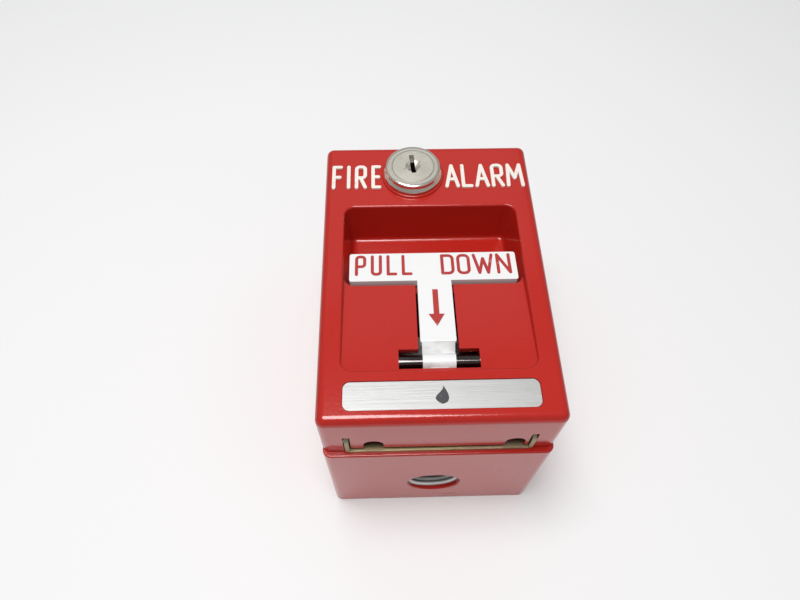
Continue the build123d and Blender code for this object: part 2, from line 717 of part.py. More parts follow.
# ---- pull handle ----------------------------------------------------------------------------
bend_y = shaft_y + bend_from_shaft
fork_angle = math.radians(handle_throw / 2)
bat_angle = fork_angle * throw_ratio
bat_length = toggle_drop - shaft_radius - bat_clear
bat_below_shaft = toggle_drop - bat_length * math.cos(bat_angle)
fork_offset = abs(bat_below_shaft * math.sin(fork_angle) - bat_length * math.sin(bat_angle) * math.cos(fork_angle))
fork_slot = 2 * (bat_tip_radius + fork_offset + fork_play)
stem_length = (bar_low - bend_y) / math.cos(math.radians(floor_angle))
handle_back = Plane((0, bar_low, handle_face_z(bar_low)), x_dir=(1, 0, 0),
                    z_dir=floor_plane.z_dir).offset(-handle_thickness)
with BuildPart() as pull_handle:
    # crossbar and stem in one plane, rounded along their front edges
    with BuildSketch(handle_back):
        with Locations((0, crossbar_height / 2)):
            RectangleRounded(2 * bar_half, crossbar_height, bar_corner)
        with Locations((0, (crossbar_height / 2 - stem_length) / 2)):
            Rectangle(stem_width, crossbar_height / 2 + stem_length)
    extrude(amount=handle_thickness)
    fillet(pull_handle.faces().sort_by(Axis.Z)[-1].edges(), handle_rounding)
    # neck, bent down from the stem to the barrel
    with BuildSketch(Plane.YZ.offset(-neck_width / 2)):
        with BuildLine():
            Polyline((bend_y + 2, handle_face_z(bend_y + 2) - 0.3), (bend_y, handle_face_z(bend_y) - 0.3),
                     (shaft_y + neck_foot[0], shaft_z + neck_foot[1]), (shaft_y, shaft_z),
                     (shaft_y + 1.6, shaft_z - 2.5),
                     (bend_y + 2.4, handle_face_z(bend_y + 2.4) - handle_thickness), close=True)
        make_face()
    extrude(amount=neck_width)
    with BuildSketch(Plane.YZ.offset(-neck_width / 2)):
        with Locations((shaft_y, shaft_z)):
            Circle(barrel_radius)
    extrude(amount=neck_width)
    # fork that carries the switch's bat
    fork_plane = Plane((-fork_thickness / 2, shaft_y, shaft_z), z_dir=(1, 0, 0),
                       x_dir=(0, math.cos(fork_angle), -math.sin(fork_angle)))
    with BuildSketch(fork_plane):
        with Locations((0, -fork_reach / 2)):
            Rectangle(fork_slot + 2 * fork_prong, fork_reach)
        with Locations((0, -fork_reach)):
            Rectangle(fork_slot, 2 * (fork_reach - barrel_radius), mode=Mode.SUBTRACT)
    extrude(amount=fork_thickness)
    with BuildSketch(Plane.YZ.offset(-stem_width / 2)):
        with Locations((shaft_y, shaft_z)):
            Circle(shaft_radius + running)
    extrude(amount=stem_width, mode=Mode.SUBTRACT)
save(pull_handle, "pull_handle")

face_tilt = Plane((0, bar_low, handle_face_z(bar_low)), x_dir=(1, 0, 0), z_dir=floor_plane.z_dir)
with BuildPart() as handle_lettering:
    with BuildSketch(face_tilt):
        low = crossbar_height - legend_from_top - legend_height
        high = crossbar_height - legend_from_top
        draw_word("PULL", -bar_half + legend_side, -stem_width / 2 - legend_from_stem, low, high, legend_stroke, legend_gap)
        draw_word("DOWN", legend_down_start, bar_half - legend_side, low, high, legend_stroke, 0.55 * legend_gap)
    extrude(amount=legend_raise)
save(handle_lettering, "handle_lettering")

arrow_top = -arrow_from_crossbar
arrow_tip = arrow_top - arrow_length
with BuildPart() as handle_arrow:
    with BuildSketch(face_tilt):
        with BuildLine():
            Polyline((-arrow_shaft_width / 2, arrow_top), (arrow_shaft_width / 2, arrow_top),
                     (arrow_shaft_width / 2, arrow_tip + arrow_head_length),
                     (arrow_head_width / 2, arrow_tip + arrow_head_length), (0, arrow_tip),
                     (-arrow_head_width / 2, arrow_tip + arrow_head_length),
                     (-arrow_shaft_width / 2, arrow_tip + arrow_head_length), close=True)
        make_face()
    extrude(amount=legend_raise)
save(handle_arrow, "handle_arrow")

# ---- switch ---------------------------------------------------------------------------------
bracket_low = shaft_y - stand_off_below - bracket_edge
bracket_high = shaft_y + stand_off_above + bracket_edge
with BuildPart() as switch_bracket:
    with BuildSketch(Plane.XY.offset(bracket_z - bracket_thickness)):
        with Locations((0, (bracket_low + bracket_high) / 2)):
            RectangleRounded(2 * bracket_half_width, bracket_high - bracket_low, bracket_corner)
        with Locations((0, shaft_y)):
            Circle(bushing_radius, mode=Mode.SUBTRACT)
        with Locations(*stand_offs):
            Circle(small_screw_radius, mode=Mode.SUBTRACT)
    extrude(amount=bracket_thickness)
save(switch_bracket, "switch_bracket")

back_of_bracket = Plane((0, 0, bracket_z - bracket_thickness), x_dir=(-1, 0, 0), z_dir=(0, 0, -1))
screws("bracket_screws", back_of_bracket, [(-x, y) for x, y in stand_offs],
       small_screw_radius, small_head_radius, small_head_height, bracket_thickness + small_screw_length - 1)

body_top = bracket_z - bracket_thickness
with BuildPart() as switch_body:
    with BuildSketch(Plane.XY.offset(body_top - switch_depth)):
        with Locations((0, shaft_y)):
            Rectangle(switch_size, switch_size)
    extrude(amount=switch_depth)
    fillet(switch_body.edges().filter_by(Axis.Z), switch_corner)
save(switch_body, "switch_body")

with BuildPart() as switch_pins:
    with BuildSketch(Plane.XY.offset(body_top - switch_depth - switch_pin_length)):
        with Locations((0, shaft_y)):
            with GridLocations(0, switch_pin_pitch, 1, 3):
                Rectangle(switch_pin_width, switch_pin_thickness)
    extrude(amount=switch_pin_length)
save(switch_pins, "switch_pins")

bushing_top = toggle_z + bushing_above_pivot
with BuildPart() as switch_bushing:
    with BuildSketch(Plane.XY.offset(body_top)):
        with Locations((0, shaft_y)):
            Circle(bushing_radius)
    extrude(amount=bushing_top - body_top)
    with BuildSketch(Plane.XY.offset(toggle_z - bat_ball_radius - ball_gap)):
        with Locations((0, shaft_y)):
            Circle(bushing_bore)
    extrude(amount=bushing_top, mode=Mode.SUBTRACT)
save(switch_bushing, "switch_bushing")

with BuildPart() as switch_nut:
    with BuildSketch(Plane.XY.offset(bracket_z)):
        with Locations((0, shaft_y)):
            RegularPolygon(switch_nut_radius, 6)
            Circle(bushing_radius, mode=Mode.SUBTRACT)
    extrude(amount=switch_nut_thickness)
save(switch_nut, "switch_nut")

with BuildPart() as toggle_bat:
    # ball, tapered bat and round tip turned about one axis, leaning to the handle's rest position
    lean = Plane((0, shaft_y, toggle_z), x_dir=(1, 0, 0),
                 z_dir=(0, -math.cos(bat_angle), -math.sin(bat_angle)))
    neck_rise = math.sqrt(bat_ball_radius ** 2 - bat_neck_radius ** 2)
    tip_rise = bat_length - math.sqrt(bat_tip_radius ** 2 - bat_root_radius ** 2)
    with BuildSketch(lean):
        with BuildLine():
            Line((0, bat_length + bat_tip_radius), (0, -bat_ball_radius))
            ThreePointArc((0, -bat_ball_radius), (bat_ball_radius, 0), (bat_neck_radius, neck_rise))
            Line((bat_neck_radius, neck_rise), (bat_root_radius, tip_rise))
            ThreePointArc((bat_root_radius, tip_rise), (bat_tip_radius, bat_length),
                          (0, bat_length + bat_tip_radius))
        make_face()
    revolve(axis=Axis((0, shaft_y, toggle_z), lean.y_dir), revolution_arc=360)
save(toggle_bat, "toggle_bat")

# ---- terminals behind the bracket -------------------------------------------------------------
block_z = body_top - terminal_depth
block_y = bracket_high - terminal_height / 2
with BuildPart() as terminal_block:
    with BuildSketch(Plane.XY.offset(block_z)):
        with Locations((0, block_y)):
            Rectangle(terminal_width, terminal_height)
    extrude(amount=terminal_depth)
    chamfer(terminal_block.faces().sort_by(Axis.Z)[0].edges(), terminal_edge)
    with BuildSketch(Plane.XY.offset(block_z)):
        with Locations((0, block_y)):
            with GridLocations(terminal_pitch, 1, terminal_count, 1):
                Circle(terminal_screw_radius + terminal_well_gap)
    extrude(amount=terminal_well_depth, mode=Mode.SUBTRACT)
    with BuildSketch(Plane((0, block_y - terminal_height / 2, block_z + wire_hole_from_back), x_dir=(1, 0, 0),
                           z_dir=(0, -1, 0))):
        with GridLocations(terminal_pitch, 1, terminal_count, 1):
            Rectangle(*wire_hole)
    extrude(amount=-wire_hole_depth, mode=Mode.SUBTRACT)
save(terminal_block, "terminal_block")

with BuildPart() as terminal_screws:
    with BuildSketch(Plane.XY.offset(block_z + terminal_screw_sunk)):
        with Locations((0, block_y)):
            with GridLocations(terminal_pitch, 1, terminal_count, 1):
                Circle(terminal_screw_radius)
    extrude(amount=terminal_screw_height)
    with BuildSketch(Plane.XY.offset(block_z + terminal_screw_sunk)):
        with Locations((0, block_y)):
            with GridLocations(terminal_pitch, 1, terminal_count, 1):
                Rectangle(2 * terminal_screw_radius, terminal_slot)
    extrude(amount=terminal_slot, mode=Mode.SUBTRACT)
save(terminal_screws, "terminal_screws")

# ---- lock -----------------------------------------------------------------------------------
washer_back = inner_face_z - lock_washer_thickness
nut_back = washer_back - lock_nut_thickness
barrel_back = lock_seat - lock_barrel_length

with BuildPart() as lock_body:
    with BuildSketch(Plane((lock_x, lock_y, 0), x_dir=(1, 0, 0), z_dir=(0, -1, 0))):
        with BuildLine():
            Line((plug_radius + running, barrel_back), (barrel_thread_radius, barrel_back))
            Line((barrel_thread_radius, barrel_back), (barrel_thread_radius, lock_seat))
            Line((barrel_thread_radius, lock_seat), (head_base_radius, lock_seat))
            Spline((head_base_radius, lock_seat), (head_radius, lock_seat + head_bulge),
                   (head_shoulder[0], lock_seat + head_shoulder[1]),
                   (plug_face_radius + head_rim, plug_face_z), tangents=((0.4, 1), (-1, 0)))
            Line((plug_face_radius + head_rim, plug_face_z),
                 (plug_face_radius + running + seam, plug_face_z))
            Line((plug_face_radius + running + seam, plug_face_z),
                 (plug_face_radius + running, plug_face_z - seam))
            Line((plug_face_radius + running, plug_face_z - seam),
                 (plug_face_radius + running, plug_face_z - plug_face_thickness))
            Line((plug_face_radius + running, plug_face_z - plug_face_thickness),
                 (plug_radius + running, plug_face_z - plug_face_thickness))
            Line((plug_radius + running, plug_face_z - plug_face_thickness),
                 (plug_radius + running, barrel_back))
        make_face()
    revolve(axis=Axis((lock_x, lock_y, 0), (0, 0, 1)), revolution_arc=360)
save(lock_body, "lock_body")

with BuildPart() as lock_washer:
    with BuildSketch(Plane((lock_x, lock_y, washer_back))):
        Circle(barrel_thread_radius + lock_washer_width)
        Circle(barrel_thread_radius, mode=Mode.SUBTRACT)
    extrude(amount=lock_washer_thickness)
save(lock_washer, "lock_washer")

with BuildPart() as lock_nut:
    with BuildSketch(Plane((lock_x, lock_y, nut_back))):
        RegularPolygon(lock_nut_flats / 2, 6, major_radius=False)
        Circle(barrel_thread_radius, mode=Mode.SUBTRACT)
    extrude(amount=lock_nut_thickness)
save(lock_nut, "lock_nut")

with BuildPart() as lock_plug:
    with BuildSketch(Plane((lock_x, lock_y, plug_face_z - plug_face_thickness))):
        Circle(plug_face_radius)
    extrude(amount=plug_face_thickness)
    chamfer(lock_plug.faces().sort_by(Axis.Z)[-1].edges(), seam)
    with BuildSketch(Plane((lock_x, lock_y, barrel_back - 0.2))):
        Circle(plug_radius)
    extrude(amount=plug_face_z - plug_face_thickness - barrel_back + 0.2)
    with BuildSketch(Plane((lock_x, lock_y, cam_z))):
        Circle(plug_tail_radius)
    extrude(amount=barrel_back - 0.2 - cam_z)
    # conical mouth of the keyway with three radial notches, then the keyway, shallow at its top
    with Locations((lock_x, lock_y, plug_face_z - 0.5 * dimple_depth)):
        Cone(dimple_taper * dimple_radius, dimple_radius, dimple_depth, mode=Mode.SUBTRACT)
    with BuildSketch(Plane((lock_x, lock_y, plug_face_z))):
        for angle in notch_angles:
            with Locations(Location((notch_middle * math.cos(math.radians(angle)),
                                     notch_middle * math.sin(math.radians(angle)), 0), (0, 0, angle))):
                SlotOverall(notch_length, notch_width)
    extrude(amount=-0.5 * dimple_depth, mode=Mode.SUBTRACT)
    lean_x, lean_y = -math.sin(math.radians(key_angle)), math.cos(math.radians(key_angle))
    with BuildSketch(Plane((lock_x, lock_y, plug_face_z))):
        with Locations(Location((key_lift * lean_x, key_lift * lean_y, 0), (0, 0, key_angle))):
            Rectangle(key_width, key_height)
    extrude(amount=-key_step, mode=Mode.SUBTRACT)
    deep_lift = key_lift - key_step_share * key_height / 2
    with BuildSketch(Plane((lock_x, lock_y, plug_face_z))):
        with Locations(Location((deep_lift * lean_x, deep_lift * lean_y, 0), (0, 0, key_angle))):
            Rectangle(key_width, (1 - key_step_share) * key_height)
    extrude(amount=-key_depth, mode=Mode.SUBTRACT)
    with BuildSketch(Plane((lock_x, lock_y, cam_z))):
        Circle(cam_screw_radius)
    extrude(amount=cam_screw_depth, mode=Mode.SUBTRACT)
save(lock_plug, "lock_plug")

with BuildPart() as lock_cam:
    with BuildSketch(Plane((lock_x, lock_y, cam_z - cam_thickness))):
        Circle(plug_tail_radius)
        with Locations((-(cam_reach - cam_half_width) / 2, 0)):
            Rectangle(cam_reach - cam_half_width, 2 * cam_half_width)
        with Locations((-(cam_reach - cam_half_width), 0)):
            Circle(cam_half_width)
        Circle(cam_screw_radius, mode=Mode.SUBTRACT)
    extrude(amount=cam_thickness)
save(lock_cam, "lock_cam")

cam_screw_plane = Plane((lock_x, lock_y, cam_z - cam_thickness), x_dir=(-1, 0, 0), z_dir=(0, 0, -1))
screws("lock_cam_screw", cam_screw_plane, [(0, 0)], cam_screw_radius, cam_head_radius,
       cam_head_height, cam_thickness + cam_screw_depth - 0.5)
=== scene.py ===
import json
import math

import bpy
from mathutils import Matrix, Vector


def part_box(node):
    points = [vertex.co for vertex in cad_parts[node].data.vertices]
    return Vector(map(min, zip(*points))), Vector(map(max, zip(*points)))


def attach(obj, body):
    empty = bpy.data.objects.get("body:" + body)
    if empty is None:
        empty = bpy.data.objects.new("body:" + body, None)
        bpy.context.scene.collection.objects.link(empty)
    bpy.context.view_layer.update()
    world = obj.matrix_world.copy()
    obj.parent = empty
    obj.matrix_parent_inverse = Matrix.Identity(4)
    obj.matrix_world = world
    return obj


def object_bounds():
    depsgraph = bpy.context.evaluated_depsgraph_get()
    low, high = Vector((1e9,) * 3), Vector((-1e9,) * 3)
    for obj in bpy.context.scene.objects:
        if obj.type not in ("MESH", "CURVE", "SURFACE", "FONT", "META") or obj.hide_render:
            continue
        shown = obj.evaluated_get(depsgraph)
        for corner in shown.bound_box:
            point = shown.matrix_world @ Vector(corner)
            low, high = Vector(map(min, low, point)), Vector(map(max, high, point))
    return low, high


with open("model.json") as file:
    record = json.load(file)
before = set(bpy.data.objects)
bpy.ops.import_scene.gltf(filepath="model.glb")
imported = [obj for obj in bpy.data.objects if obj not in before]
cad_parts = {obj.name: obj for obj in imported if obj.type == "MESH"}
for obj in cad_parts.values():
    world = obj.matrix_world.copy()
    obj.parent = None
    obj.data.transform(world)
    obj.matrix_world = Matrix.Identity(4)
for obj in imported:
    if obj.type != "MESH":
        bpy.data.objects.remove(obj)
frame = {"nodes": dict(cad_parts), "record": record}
cad_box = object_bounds()

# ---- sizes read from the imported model, in metres ------------------------------------------------
MM = 0.001
cover_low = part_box("front_cover")[0]
box_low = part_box("back_box")[0]
lock_low, lock_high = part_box("lock_plug")
lock_axis = ((lock_low.x + lock_high.x) / 2, (lock_low.y + lock_high.y) / 2)
face_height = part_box("cover_lettering")[0].z
conduit = next(m for m in frame["record"]["mounts"] if m["name"] == "conduit_entry")
conduit_x, _, conduit_z = conduit["pos_m"]
conduit_radius = conduit["dims"]["r_mm"] * MM
conduit_length = conduit["dims"]["length_mm"] * MM

# ---- the thread's own sizes, in metres, and how it is divided -----------------------------------
THREAD_PITCH = 1.814 * MM
THREAD_DEPTH = 1.0 * MM
THREAD_GAP = 0.02 * MM       # bore to the foot of the ridge
THREAD_START = 0.12 * MM     # lower face of the box to the first turn
THREAD_SHORT = 0.8 * MM      # how much less than the bore's length the thread runs
THREAD_FLAT = 0.12           # half width of the ridge's crest, in pitches
THREAD_STEPS = 56            # per turn
THREAD_FADE = 20             # steps over which the ridge rises at each end

KEYWAY_RADIUS = 6.2 * MM
LOWER_SIDE = 1.5 * MM        # how far up from the cover's lower edge the painted floor reflection on the lower sides goes


# ---- shader building ----------------------------------------------------------------------------
class Value:
    """A number that varies over a surface. Arithmetic on it adds Math nodes."""

    def __init__(self, finish, socket):
        self.finish = finish
        self.socket = socket

    def math(self, operation, first, second=0.0):
        return self.finish.node("ShaderNodeMath", {"operation": operation}, {0: first, 1: second})

    def __add__(self, other):
        return self.math("ADD", self, other)

    def __radd__(self, other):
        return self.math("ADD", other, self)

    def __sub__(self, other):
        return self.math("SUBTRACT", self, other)

    def __rsub__(self, other):
        return self.math("SUBTRACT", other, self)

    def __mul__(self, other):
        return self.math("MULTIPLY", self, other)

    def __rmul__(self, other):
        return self.math("MULTIPLY", other, self)

    def __gt__(self, other):
        return self.math("GREATER_THAN", self, other)

    def __lt__(self, other):
        return self.math("LESS_THAN", self, other)

    def __pow__(self, other):
        return self.math("POWER", self, other)

    def __abs__(self):
        return self.math("ABSOLUTE", self)

    def largest(self, other):
        return self.math("MAXIMUM", self, other)

    def sine(self):
        return self.math("SINE", self)

    def between(self, low, high):
        """0 below low, 1 above high and smooth in between."""
        return self.finish.node("ShaderNodeMapRange", {"interpolation_type": "SMOOTHSTEP"},
                                {"Value": self, "From Min": low, "From Max": high})


class Finish:
    """A material in the making: every node comes from node()."""

    def __init__(self, name):
        self.material = bpy.data.materials.new(name)
        self.material.use_nodes = True
        self.tree = self.material.node_tree
        self.tree.nodes.clear()
        self.place = self.node("ShaderNodeTexCoord", {}, {}, "Object")
        self.facing = self.node("ShaderNodeTexCoord", {}, {}, "Normal")

    def node(self, kind, settings, sockets, output=0):
        """Adds a node, sets it and its sockets, and returns one of its outputs."""
        made = self.tree.nodes.new(kind)
        for key, value in settings.items():
            if key == "stops":
                self.set_stops(made.color_ramp, value)
            else:
                setattr(made, key, value)
        for key, value in sockets.items():
            if isinstance(value, Value):
                self.tree.links.new(value.socket, made.inputs[key])
            else:
                made.inputs[key].default_value = value
        return Value(self, made.outputs[output]) if len(made.outputs) else None

    def set_stops(self, ramp, stops):
        while len(ramp.elements) < len(stops):
            ramp.elements.new(0.5)
        for element, (position, colour) in zip(ramp.elements, stops):
            element.position = position
            element.color = (*colour, 1.0)

    def axes(self, vector):
        """The three numbers of a vector."""
        return [self.node("ShaderNodeSeparateXYZ", {}, {0: vector}, k) for k in range(3)]

    def stretch(self, scale, offset=(0, 0, 0)):
        """Object coordinates scaled differently along each axis."""
        return self.node("ShaderNodeMapping", {}, {"Vector": self.place, "Scale": scale, "Location": offset})

    def noise(self, scale, detail=3.0, rough=0.5, at=None, distortion=0.0):
        return self.node("ShaderNodeTexNoise", {},
                         {"Vector": at or self.place, "Scale": scale, "Detail": detail,
                          "Roughness": rough, "Distortion": distortion})

    def cells(self, scale, at=None):
        return self.node("ShaderNodeTexVoronoi", {}, {"Vector": at or self.place, "Scale": scale}, "Distance")

    def mix(self, amount, first, second):
        """Colour first where amount is 0 and second where it is 1."""
        made = self.tree.nodes.new("ShaderNodeMix")
        made.data_type = "RGBA"
        for socket, value in zip((made.inputs[0], made.inputs[6], made.inputs[7]), (amount, first, second)):
            if isinstance(value, Value):
                self.tree.links.new(value.socket, socket)
            else:
                socket.default_value = value if isinstance(value, float) else (*value, 1.0)
        return Value(self, made.outputs[2])

    def ramp(self, amount, stops):
        return self.node("ShaderNodeValToRGB", {"stops": stops}, {"Fac": amount}, "Color")

    def bump(self, height, strength, distance, under=None):
        sockets = {"Height": height, "Strength": strength, "Distance": distance}
        if under:
            sockets["Normal"] = under
        return self.node("ShaderNodeBump", {}, sockets)

    def edges(self):
        """Near 1 on rounded edges, whose normals lie between the axes, and 0 on flat faces."""
        x, y, z = self.axes(self.facing)
        return (1 - abs(x).largest(abs(y)).largest(abs(z))).between(0.04, 0.2)

    def done(self, **sockets):
        """Closes the material with a Principled shader; names use _ for spaces."""
        named = {key.replace("_", " "): value for key, value in sockets.items()}
        shader = self.node("ShaderNodeBsdfPrincipled", {}, named)
        self.node("ShaderNodeOutputMaterial", {}, {"Surface": shader})
        return self.material


def paint(material, *nodes):
    """Gives CAD nodes a material."""
    for name in nodes:
        piece = frame["nodes"][name]
        piece.data.materials.clear()
        piece.data.materials.append(material)


# ---- finishes -----------------------------------------------------------------------------------
def enamel(name, deep, bright, scuffs):
    """Glossy red enamel on a casting: faint orange peel, thin paint on edges, dust and scuffs, and a faint
    painted reflection of the pale floor on the lower sides.
    """
    f = Finish(name)
    clouds = f.noise(28, 4.0)
    colour = f.mix(clouds, deep, bright)
    edge = f.edges()
    colour = f.mix(edge * f.noise(160, 3.0) * 0.55, colour, tuple(0.62 * c for c in deep))
    dust = f.cells(1500) < 0.055
    dust = dust * (f.noise(90, 2.0) > 0.56)
    colour = f.mix(dust * 0.35, colour, (0.75, 0.55, 0.5))
    streaks = f.noise(90, 5.0, 0.62, f.stretch((0.35, 1.0, 1.6), (0.3, 0.1, 0)))
    scuff = streaks.between(scuffs, scuffs + 0.02) * f.noise(700, 2.0).between(0.42, 0.5)
    colour = f.mix(scuff * 0.75, colour, (0.20, 0.012, 0.010))
    peel = f.noise(620, 2.0, 0.45)
    grain = f.noise(2600, 1.0)
    normal = f.bump(peel, 0.07, 0.0004, f.bump(grain, 0.03, 0.0002))
    # Painted reflection: the lower sides facing -Y get a faint pale pink that stands for the white floor
    # reflected in them; the coat weight uses the same mask.
    low = f.axes(f.place)[1] < cover_low.y + LOWER_SIDE
    painted_floor_reflection = (0 - f.axes(f.facing)[1]).between(0.9, 0.995) * low
    colour = f.mix(painted_floor_reflection * clouds * 0.05, colour, (0.70, 0.55, 0.52))
    rough = 0.12 + clouds * 0.06 + scuff * 0.3 + dust * 0.2
    return f.done(Base_Color=colour, Roughness=rough, Normal=normal, IOR=1.5,
                  Coat_Weight=0.05 * painted_floor_reflection, Coat_Roughness=0.1)


def white_enamel():
    """White enamel of the handle: nearly clean, greyer and rubbed on its edges."""
    f = Finish("white_enamel")
    clouds = f.noise(45, 3.0)
    colour = f.mix(clouds, (0.76, 0.76, 0.76), (0.80, 0.80, 0.795))
    grime = f.edges() * f.noise(240, 4.0).between(0.35, 0.7)
    colour = f.mix(grime * 0.7, colour, (0.50, 0.485, 0.47))
    marks = f.noise(60, 4.0, 0.6, f.stretch((1.0, 9.0, 1.0))).between(0.66, 0.7)
    colour = f.mix(marks * 0.25, colour, (0.70, 0.67, 0.64))
    normal = f.bump(f.noise(500, 2.0), 0.12, 0.0004)
    return f.done(Base_Color=colour, Roughness=0.26 + clouds * 0.12 + marks * 0.2, Normal=normal,
                  IOR=1.48, Coat_Weight=0.2 - grime * 0.2)


def letter_paint(name, colour, worn, wear, relief):
    """Brushed or printed lettering paint with a slightly uneven skin and worn rims."""
    f = Finish(name)
    skin = f.noise(900, 3.0)
    base = f.mix(f.noise(130, 3.0), colour, tuple(0.9 * c for c in colour))
    chips = f.edges().largest(f.noise(520, 4.0).between(0.6, 0.66)) * f.noise(300, 2.0).between(0.5, 0.62)
    base = f.mix(chips * wear, base, worn)
    return f.done(Base_Color=base, Roughness=0.38 + skin * 0.18, Normal=f.bump(skin, relief, 0.0004),
                  IOR=1.48)


def brushed_plate():
    """Aluminium brushed along X: long fine scratches with a few deeper ones."""
    f = Finish("brushed_aluminium")
    fine = f.noise(1.0, 4.0, 0.6, f.stretch((60, 6500, 6500)))
    coarse = f.noise(1.0, 3.0, 0.5, f.stretch((22, 1500, 1500)))
    bands = f.noise(1.0, 2.0, 0.5, f.stretch((9, 160, 160)))
    colour = f.ramp(fine * 0.55 + coarse * 0.25 + bands * 0.2,
                    [(0.25, (0.33, 0.33, 0.32)), (0.5, (0.43, 0.43, 0.425)), (0.78, (0.52, 0.52, 0.51))])
    rough = 0.36 + fine * 0.16 + bands * 0.08
    return f.done(Base_Color=colour, Metallic=0.92, Roughness=rough,
                  Normal=f.bump(fine * 0.7 + coarse * 0.3, 0.22, 0.0003))


def plated(name, dark, light, rough, scratch=0.5, blotch=40):
    """Bright plating on turned or pressed metal, with handling marks and a dull film in places."""
    f = Finish(name)
    film = f.noise(blotch, 4.0, 0.55)
    colour = f.mix(film.between(0.32, 0.7), light, dark)
    lines = f.noise(1.0, 3.0, 0.6, f.stretch((900, 260, 900)))
    nicks = f.cells(420) < 0.07
    colour = f.mix(nicks * 0.4, colour, tuple(0.45 * c for c in dark))
    return f.done(Base_Color=colour, Metallic=1.0, Roughness=rough + film * 0.12 + nicks * 0.2,
                  Normal=f.bump(lines * scratch + film * 0.4, 0.10, 0.0003))


def plug_face():
    """Satin nickel with fine turning rings about the lock's axis, and near-black painted shade down in the
    key slot.
    """
    f = Finish("plug_nickel")
    x, y, z = f.axes(f.place)
    across, up = x - lock_axis[0], y - lock_axis[1]
    radius = (across * across + up * up) ** 0.5
    rings = (radius * 26000 + f.noise(300, 2.0) * 2.2).sine() * 0.5 + 0.5
    wear = f.noise(240, 4.0, 0.6)
    colour = f.mix(wear.between(0.3, 0.75), (0.78, 0.75, 0.665), (0.64, 0.615, 0.54))
    speck = f.cells(1700) < 0.13
    colour = f.mix(speck * 0.5, colour, (0.36, 0.33, 0.28))
    # Painted shade: the walls of the key slot below the plug face are coloured near black where shade falls,
    # and are made less metallic.
    keyway_shade = (lock_high.z - z).between(0.9 * MM, 2.0 * MM) * (radius < KEYWAY_RADIUS)
    colour = f.mix(keyway_shade, colour, (0.055, 0.048, 0.038))
    return f.done(Base_Color=colour, Metallic=1.0 - keyway_shade * 0.5,
                  Roughness=0.36 + wear * 0.14 + speck * 0.15,
                  Normal=f.bump(rings * 0.35 + wear * 0.65, 0.18, 0.0002))


def thread_metal(root):
    """Bare cast metal of the conduit thread, light on its crests, with painted shade low on its flanks
    towards the root.
    """
    f = Finish("bare_casting")
    x, _, z = f.axes(f.place)
    across, up = x - conduit_x, z - conduit_z
    radius = (across * across + up * up) ** 0.5
    # Painted shade: the low flanks near the thread root are coloured dark where shade falls between the
    # ridges.
    valley_shade = radius.between(root - 0.7 * THREAD_DEPTH, root - 0.1 * THREAD_DEPTH)
    film = f.noise(150, 4.0)
    colour = f.mix(film, (0.90, 0.89, 0.87), (0.66, 0.65, 0.62))
    colour = f.mix(valley_shade * 0.85, colour, (0.10, 0.095, 0.09))
    return f.done(Base_Color=colour, Metallic=0.3, Roughness=0.24 + film * 0.14,
                  Normal=f.bump(film, 0.1, 0.0003))


def chromate():
    """Yellow zinc chromate on pressed steel: gold with green and pink clouds."""
    f = Finish("yellow_zinc")
    clouds = f.noise(70, 5.0, 0.6, distortion=0.8)
    colour = f.ramp(clouds, [(0.25, (0.20, 0.205, 0.095)), (0.45, (0.31, 0.27, 0.14)),
                             (0.6, (0.34, 0.26, 0.165)), (0.78, (0.22, 0.23, 0.145))])
    colour = f.mix(f.edges() * f.noise(300, 3.0), colour, (0.33, 0.33, 0.29))
    rolled = f.noise(1.0, 3.0, 0.6, f.stretch((120, 2200, 900)))
    return f.done(Base_Color=colour, Metallic=0.95, Roughness=0.30 + clouds * 0.2,
                  Normal=f.bump(rolled, 0.12, 0.0003))


def moulded(name, colour, rough):
    """Moulded plastic: fine spark texture and a little dust."""
    f = Finish(name)
    spark = f.noise(1700, 2.0)
    dust = f.noise(60, 5.0, 0.65).between(0.5, 0.8)
    base = f.mix(f.noise(80, 2.0), colour, tuple(min(1.0, 1.25 * c + 0.01) for c in colour))
    base = f.mix(dust * 0.25, base, (0.42, 0.41, 0.39))
    return f.done(Base_Color=base, Roughness=rough + dust * 0.15, Normal=f.bump(spark, 0.2, 0.0003), IOR=1.5)


red_cover = enamel("red_enamel_cover", (0.42, 0.014, 0.0085), (0.46, 0.017, 0.0105), 0.80)
red_box = enamel("red_enamel_box", (0.41, 0.014, 0.0085), (0.45, 0.017, 0.0105), 0.675)
paint(red_cover, "front_cover")
paint(red_box, "back_box")
paint(white_enamel(), "pull_handle")
paint(letter_paint("cream_letters", (0.83, 0.775, 0.71), (0.60, 0.30, 0.24), 0.5, 0.35), "cover_lettering")
paint(letter_paint("red_print", (0.42, 0.028, 0.027), (0.80, 0.48, 0.45), 0.3, 0.12),
      "handle_lettering", "handle_arrow")
paint(letter_paint("black_ink", (0.035, 0.036, 0.042), (0.3, 0.3, 0.3), 0.3, 0.1), "nameplate_mark")
paint(brushed_plate(), "nameplate")
paint(plated("polished_nickel", (0.72, 0.69, 0.60), (0.90, 0.87, 0.78), 0.13, 0.3), "lock_body")
paint(plug_face(), "lock_plug")
paint(plated("dark_steel", (0.06, 0.05, 0.05), (0.12, 0.105, 0.105), 0.08), "pivot_shaft")
paint(chromate(), "mounting_plate", "latch_strike")
paint(plated("zinc_fasteners", (0.42, 0.43, 0.44), (0.66, 0.67, 0.68), 0.22, 0.7, 220),
      "lock_washer", "lock_nut", "lock_cam_screw", "saddle_screws", "bracket_screws",
      "switch_bushing", "switch_nut", "strike_rivet", "hinge_pins", "plate_screws")
paint(plated("pressed_steel", (0.44, 0.44, 0.43), (0.62, 0.62, 0.60), 0.3, 0.9, 60),
      "lock_cam", "shaft_saddles", "switch_bracket")
paint(plated("bat_plating", (0.62, 0.62, 0.61), (0.84, 0.84, 0.83), 0.08), "toggle_bat")
paint(plated("brass", (0.50, 0.36, 0.13), (0.78, 0.60, 0.26), 0.24, 0.6, 300),
      "switch_pins", "terminal_screws")
